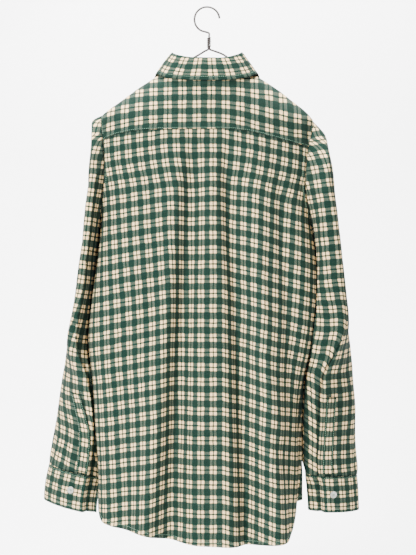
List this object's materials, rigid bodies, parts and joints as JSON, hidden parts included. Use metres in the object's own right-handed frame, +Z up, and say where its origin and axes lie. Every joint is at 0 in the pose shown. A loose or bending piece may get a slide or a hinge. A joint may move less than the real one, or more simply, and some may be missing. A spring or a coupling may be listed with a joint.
{
  "type": "flannel shirt on a wire hanger",
  "caption": "Long-sleeved check shirt with a turn-down collar, buttoned cuffs and shirt-tail hem, hanging on a bent wire hanger.",
  "frame": {"origin": "inside top of the hanger's hook, where a rod carries it", "axes": "+Z up, +X towards the wearer's left sleeve, +Y out of the shirt's back; the front faces -Y"},
  "size_m": [0.5223, 0.2035, 0.8788],
  "materials": {
    "flannel": "brushed check flannel",
    "button_shell": "pearly",
    "hanger_wire": "dark lacquer"
  },
  "bodies": {
    "root": {"back": "flannel", "yoke": "flannel", "front_left": "flannel", "front_right": "flannel", "placket": "flannel", "collar_stand": "flannel", "collar_leaf": "flannel", "sleeve_left": "flannel", "sleeve_right": "flannel", "sleeve_placket_left": "flannel", "sleeve_placket_right": "flannel", "cuff_left": "flannel", "cuff_right": "flannel", "button_front_1": "button_shell", "button_front_2": "button_shell", "button_front_3": "button_shell", "button_front_4": "button_shell", "button_front_5": "button_shell", "button_front_6": "button_shell", "button_front_7": "button_shell", "button_collar": "button_shell", "button_cuff_left": "button_shell", "button_cuff_right": "button_shell", "hanger_hook": "hanger_wire", "hanger_twist": "hanger_wire", "hanger_frame": "hanger_wire"}
  },
  "joints": []
}
